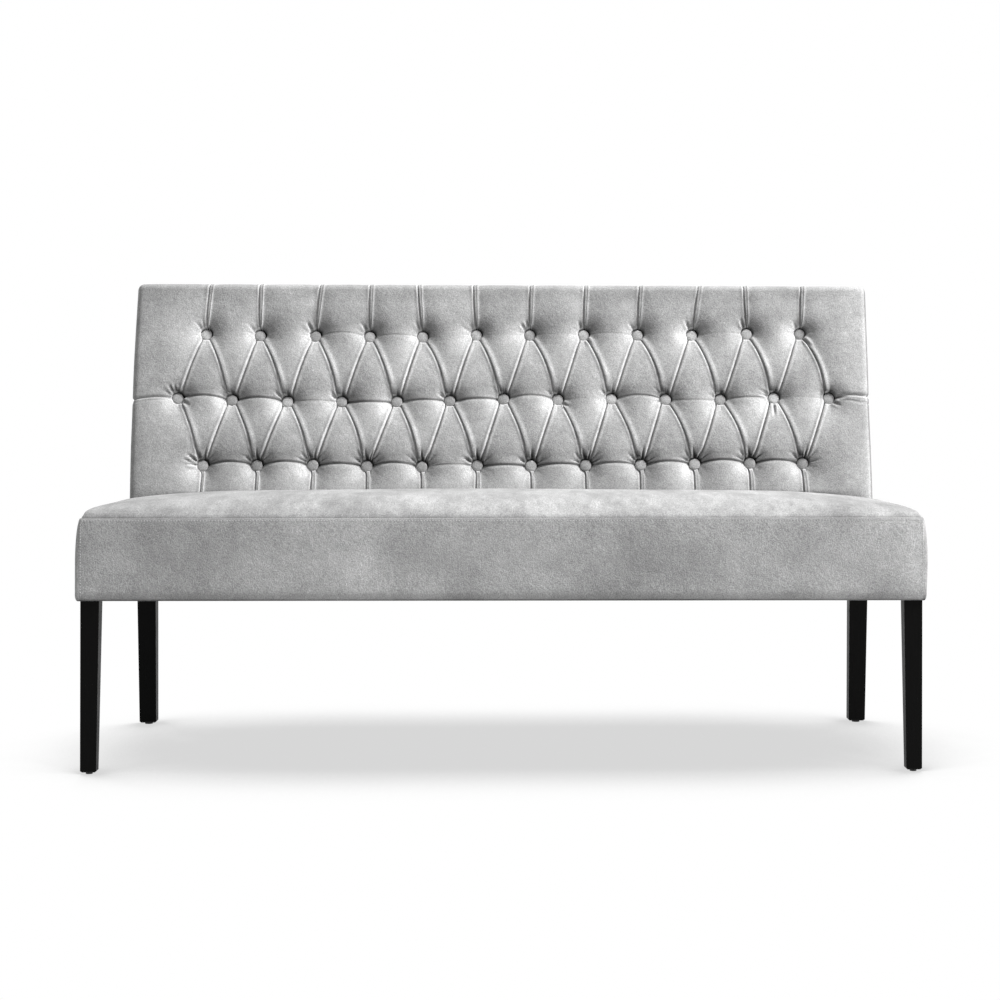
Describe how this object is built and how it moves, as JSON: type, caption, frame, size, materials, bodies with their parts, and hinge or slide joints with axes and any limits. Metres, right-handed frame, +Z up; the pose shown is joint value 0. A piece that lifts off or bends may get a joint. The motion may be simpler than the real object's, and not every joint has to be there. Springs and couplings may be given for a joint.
{
  "type": "upholstered dining bench",
  "caption": "Velvet dining bench with a boxed, crowned seat, a deep-buttoned reclined back and tapered black legs.",
  "frame": {"origin": "on the floor, in the middle of the bench's footprint, which is the rectangle round the seat's front face, the sides and the top of the back", "axes": "+X along the bench, to the right as seen from the front; +Y from the seat's front edge to the back; +Z up"},
  "size_m": [1.6, 0.6302, 0.957],
  "materials": {
    "velvet": "short-pile grey velvet",
    "lacquered_wood": "satin black lacquer",
    "hardwood": "planed beech",
    "plywood": "sanded plywood",
    "steel": "zinc plated",
    "webbing": "woven elastic webbing",
    "foam": "open-cell foam",
    "lining": "black spun-bonded lining",
    "glide_plastic": "moulded nylon"
  },
  "bodies": {
    "root": {"leg_front_right": "lacquered_wood", "leg_front_left": "lacquered_wood", "leg_rear_right": "lacquered_wood", "leg_rear_left": "lacquered_wood", "seat_rail_front": "hardwood", "seat_rail_rear": "hardwood", "seat_rail_right": "hardwood", "seat_rail_left": "hardwood", "seat_stretcher_right": "hardwood", "seat_stretcher_left": "hardwood", "corner_block_front_right": "hardwood", "corner_block_front_left": "hardwood", "corner_block_rear_right": "hardwood", "corner_block_rear_left": "hardwood", "back_rail_top": "hardwood", "back_rail_lumbar": "hardwood", "back_upright_right": "hardwood", "back_upright_left": "hardwood", "tufting_board": "plywood", "leg_bolt_front_right": "steel", "leg_bolt_front_left": "steel", "leg_bolt_rear_right": "steel", "leg_bolt_rear_left": "steel", "leg_nut_front_right": "steel", "leg_nut_front_left": "steel", "leg_nut_rear_right": "steel", "leg_nut_rear_left": "steel", "glide_front_right": "glide_plastic", "glide_front_left": "glide_plastic", "glide_rear_right": "glide_plastic", "glide_rear_left": "glide_plastic", "cross_strap_1": "webbing", "cross_strap_2": "webbing", "cross_strap_3": "webbing", "cross_strap_4": "webbing", "cross_strap_5": "webbing", "cross_strap_6": "webbing", "cross_strap_7": "webbing", "cross_strap_8": "webbing", "cross_strap_9": "webbing", "cross_strap_10": "webbing", "long_strap_1": "webbing", "long_strap_2": "webbing", "long_strap_3": "webbing", "seat_foam": "foam", "back_base_foam": "foam", "seat_top_panel": "velvet", "seat_border_front": "velvet", "seat_border_right": "velvet", "seat_border_left": "velvet", "back_cushion": "velvet", "button_row_lower": "velvet", "button_row_middle": "velvet", "button_row_upper": "velvet", "outside_back": "velvet", "dust_cover": "lining"}
  },
  "joints": []
}
